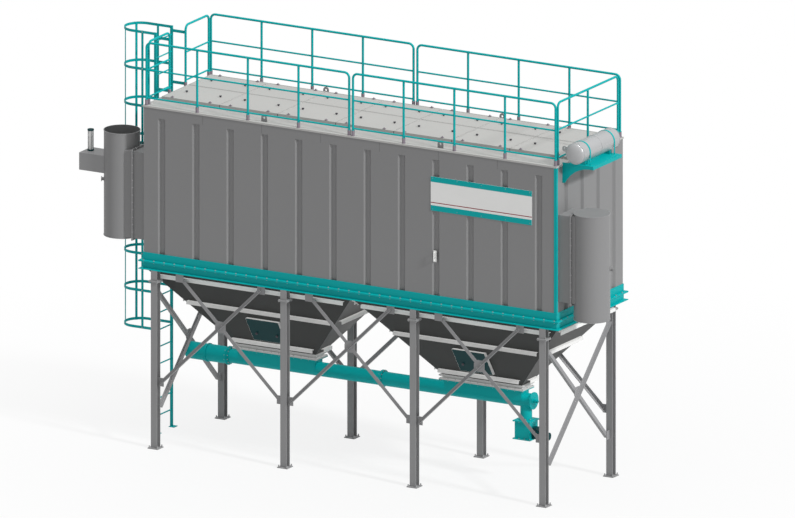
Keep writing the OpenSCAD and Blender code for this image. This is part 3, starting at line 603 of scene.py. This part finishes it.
# inspection doors: pale skin on the body's sides, and two knobs each
doors = {"width": 0.636, "skin": 0.002, "knobAcross": 0.2, "knobDown": 0.08, "outletHalf": 0.15}


def makeDoorDetails():
    lo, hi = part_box("inspection_doors")
    hopperLo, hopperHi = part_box("left_hopper")
    slope = (hopperHi.y - doors["outletHalf"]) / (hopperHi.z - hopperLo.z)
    shift = Vector((0, slope * (hi.z - lo.z), 0))
    outerTop, innerLow = Vector((0, lo.y, hi.z)), Vector((0, hi.y, lo.z))
    outerLow, innerTop = Vector((0, lo.y, lo.z)) + shift, Vector((0, hi.y, hi.z)) - shift
    rise = (outerTop - outerLow).normalized()
    normal = Vector((0, -rise.z, rise.y))
    along = Vector((1, 0, 0))
    half, skin = doors["width"] / 2, doors["skin"]
    skins, knobs = [], []
    for s in (-1, 1):
        middle = along * s * (hi.x - lo.x - doors["width"]) / 2
        for k in (-1, 1):
            side = middle + along * k * half
            skins.append(prism([p + side for p in (outerLow, outerTop, innerTop, innerLow)], along * k * skin))
            place = (outerLow + outerTop) / 2 + middle + along * k * doors["knobAcross"] - rise * doors["knobDown"]
            knobs.append((place, normal))
        for a, b, step in ((outerTop, innerTop, up * skin), (outerLow, innerLow, down * skin)):
            ends = [p + middle + along * k * half for p, k in ((a, -1), (a, 1), (b, 1), (b, -1))]
            skins.append(prism(ends, step))
    makePiece("doorEdges", skins, paints["trim_pale"])
    standForms("doorKnobs", knobTree, knobs, {}, darkKnob)


makeDoorDetails()


# damper cylinder: dark end caps and tie rods
cylinder = {"rodRadius": 0.006, "capHeight": 0.0235, "proud": 0.001}


def makeDamperDetails():
    lo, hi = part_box("damper_cylinder")
    x, y = (lo.x + hi.x) / 2, (lo.y + hi.y) / 2
    capR = (hi.x - lo.x) / 2
    caps = [collar((x, y, lo.z), (x, y, lo.z + cylinder["capHeight"]), capR - 0.03, capR + cylinder["proud"]),
            collar((x, y, hi.z - cylinder["capHeight"]), (x, y, hi.z + cylinder["proud"]), 0.004,
                   capR + cylinder["proud"])]
    rods = []
    for i in range(4):
        turn = math.pi * (i + 0.5) / 2
        rx, ry = x + 0.046 * math.cos(turn), y + 0.046 * math.sin(turn)
        rods.append(rod((rx, ry, lo.z + 0.022), (rx, ry, hi.z - 0.022), cylinder["rodRadius"], 10))
    makePiece("damperCaps", caps, paints["door_teal"], True)
    makePiece("damperRods", rods, zinc, True)


makeDamperDetails()


# air tank: weld beads, a flanged port beside the near end and a drain below
tank = {"bead": 0.004, "portR": 0.02, "portUp": 0.052, "portIn": 0.13, "portOut": 0.232}


def makeTankDetails():
    lo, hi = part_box("air_tank")
    x, z = (lo.x + hi.x) / 2, (lo.z + hi.z) / 2
    radius = (hi.z - lo.z) / 2
    head = 0.084
    beads = [collar((x, y - 0.004, z), (x, y + 0.004, z), radius - 0.004, radius + tank["bead"], 48)
             for y in (lo.y + head, hi.y - head, (lo.y + hi.y) / 2)]
    makePiece("tankWelds", beads, paints["tank_steel"], True)
    portY, portZ, portX = lo.y + tank["portIn"], z + tank["portUp"], x - tank["portOut"]
    port = [rod((x - radius + 0.02, portY, portZ), (portX, portY, portZ), tank["portR"]),
            collar((portX, portY - 0.008, portZ), (portX, portY + 0.008, portZ), 0.024, 0.05),
            rod((x, portY + 0.3, z - radius + 0.01), (x, portY + 0.3, z - radius - 0.022), 0.012, 12)]
    makePiece("tankPorts", port, paints["tank_steel"], True)


makeTankDetails()


# valve motor: fins and terminal box
motor = {"fins": 9, "finDepth": 0.004, "finOut": 0.010}


def makeMotorDetails():
    lo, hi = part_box("valve_motor")
    z = 0.884
    radius = 0.062
    shapes = []
    for i in range(motor["fins"]):
        x = hi.x - 0.19 + i * 0.018
        shapes.append(collar((x, 0, z), (x + motor["finDepth"], 0, z), radius - 0.002, radius + motor["finOut"]))
    shapes.append(brick((hi.x - 0.17, -0.03, z + radius - 0.004), (hi.x - 0.08, 0.03, z + radius + 0.05)))
    makePiece("motorFins", shapes, paints["door_teal"])


makeMotorDetails()


# pipes: weld rings round the outside
pipes = {"ringUp": 0.012, "ringOut": 0.006}


def makePipeRings():
    shapes = []
    for node, s in (("inlet_pipe", 1), ("outlet_pipe", -1)):
        lo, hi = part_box(node)
        radius = 0.310
        y = (lo.y + hi.y) / 2 if node == "none" else -0.820
        x = 4.570 if s > 0 else -4.655
        for z in (lo.z, hi.z - pipes["ringUp"]):
            shapes.append(collar((x, y, z), (x, y, z + pipes["ringUp"]), radius, radius + pipes["ringOut"], 96))
    makePiece("pipeRims", shapes, paints["column_grey"], True)


makePipeRings()


# ladder cage: a bolt where each strap crosses a hoop
cage = {"hoops": 9, "armShare": 0.4}


def makeCageBolts():
    lo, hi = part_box("cage_hoops")
    half = (hi.y - lo.y) / 2
    centreX, centreY = lo.x + half, (lo.y + hi.y) / 2
    armX = centreX + (hi.x - centreX) * cage["armShare"] + 0.02
    places = []
    hoopHeight = 0.046
    for i in range(cage["hoops"]):
        z = lo.z + hoopHeight / 2 + (hi.z - lo.z - hoopHeight) * i / (cage["hoops"] - 1)
        for angle in (135, 225):
            out = Vector((math.cos(math.radians(angle)), math.sin(math.radians(angle)), 0))
            places.append((Vector((centreX, centreY, z)) + out * half, out))
        for s in (-1, 1):
            places.append((Vector((armX, centreY + s * half, z)), Vector((0, s, 0))))
    return standForms("cageBolts", boltTree, places, smallBolt, zinc)


makeCageBolts()
print("fittings made")


# floor, light and camera
stage = {"floorSize": 90.0, "floorShade": 0.62, "floorGlow": 0.72, "worldLight": 0.48, "sunPower": 2.4, "sunTo": (0.84, -0.16, 0.52),
         "sunSize": 6.0, "fillPower": 1.9, "fillTo": (0.16, -0.06, 0.98)}


def makeFloor():
    half = stage["floorSize"] / 2
    mesh = bpy.data.meshes.new("floor")
    mesh.from_pydata([(-half, -half, 0), (half, -half, 0), (half, half, 0), (-half, half, 0)], [], [(0, 1, 2, 3)])
    floor = bpy.data.objects.new("floor", mesh)
    bpy.context.scene.collection.objects.link(floor)
    material = bpy.data.materials.new("floorPale")
    material.use_nodes = True
    nodes, links = material.node_tree.nodes, material.node_tree.links
    shade = stage["floorShade"]
    setSocket(nodes["Principled BSDF"], "Base Color", (shade, shade, shade, 1))
    setSocket(nodes["Principled BSDF"], "Roughness", 0.9)
    glow = nodes.new("ShaderNodeEmission")
    ray = nodes.new("ShaderNodeLightPath")
    coords = nodes.new("ShaderNodeTexCoord")
    distance = nodes.new("ShaderNodeVectorMath")
    distance.operation = "LENGTH"
    fade = nodes.new("ShaderNodeMapRange")
    setSocket(fade, "From Min", 3.5)
    setSocket(fade, "From Max", 13.0)
    setSocket(fade, "To Min", stage["floorGlow"])
    blend = nodes.new("ShaderNodeMath")
    blend.operation = "MULTIPLY"
    mix = nodes.new("ShaderNodeMixShader")
    links.new(coords.outputs["Object"], distance.inputs[0])
    links.new(distance.outputs["Value"], fade.inputs["Value"])
    links.new(fade.outputs[0], blend.inputs[0])
    links.new(ray.outputs["Is Camera Ray"], blend.inputs[1])
    links.new(blend.outputs[0], mix.inputs[0])
    links.new(nodes["Principled BSDF"].outputs[0], mix.inputs[1])
    links.new(glow.outputs[0], mix.inputs[2])
    links.new(mix.outputs[0], nodes["Material Output"].inputs["Surface"])
    mesh.materials.append(material)


def makeSun(name, power, towards, shadow):
    sunData = bpy.data.lights.new(name, "SUN")
    sunData.energy = power
    sunData.angle = math.radians(stage["sunSize"])
    sunData.use_shadow = shadow
    sun = bpy.data.objects.new(name, sunData)
    bpy.context.scene.collection.objects.link(sun)
    sun.rotation_euler = Vector(towards).to_track_quat("Z", "Y").to_euler()
    sun.location = Vector(towards) * 20


def makeLight():
    world = bpy.data.worlds.new("studio")
    world.use_nodes = True
    nodes, links = world.node_tree.nodes, world.node_tree.links
    soft = nodes["Background"]
    setSocket(soft, "Color", (1, 1, 1, 1))
    setSocket(soft, "Strength", stage["worldLight"])
    white = nodes.new("ShaderNodeBackground")
    setSocket(white, "Color", (1, 1, 1, 1))
    setSocket(white, "Strength", 1.0)
    ray = nodes.new("ShaderNodeLightPath")
    mix = nodes.new("ShaderNodeMixShader")
    links.new(ray.outputs["Is Camera Ray"], mix.inputs[0])
    links.new(soft.outputs[0], mix.inputs[1])
    links.new(white.outputs[0], mix.inputs[2])
    links.new(mix.outputs[0], nodes["World Output"].inputs["Surface"])
    bpy.context.scene.world = world
    makeSun("sun", stage["sunPower"], stage["sunTo"], True)
    makeSun("fill", stage["fillPower"], stage["fillTo"], False)


# the photograph's view: straight lines, no perspective
view = {"azimuth": 30.0, "elevation": 15.0, "across": 13.515, "right": 0.2414, "up": 3.451, "back": 30.0}


def makeCamera():
    a, e = math.radians(view["azimuth"]), math.radians(view["elevation"])
    rightward = Vector((math.cos(a), math.sin(a), 0))
    back = Vector((math.sin(a) * math.cos(e), -math.cos(a) * math.cos(e), math.sin(e)))
    upward = back.cross(rightward)
    data = bpy.data.cameras.new("camera")
    data.type = "ORTHO"
    data.ortho_scale = view["across"]
    data.clip_end = 200.0
    camera = bpy.data.objects.new("camera", data)
    bpy.context.scene.collection.objects.link(camera)
    camera.location = rightward * view["right"] + upward * view["up"] + back * view["back"]
    camera.rotation_euler = back.to_track_quat("Z", "Y").to_euler()
    bpy.context.scene.camera = camera


makeFloor()
makeLight()
makeCamera()
bpy.context.scene.view_settings.view_transform = "Standard"
print("stage made")
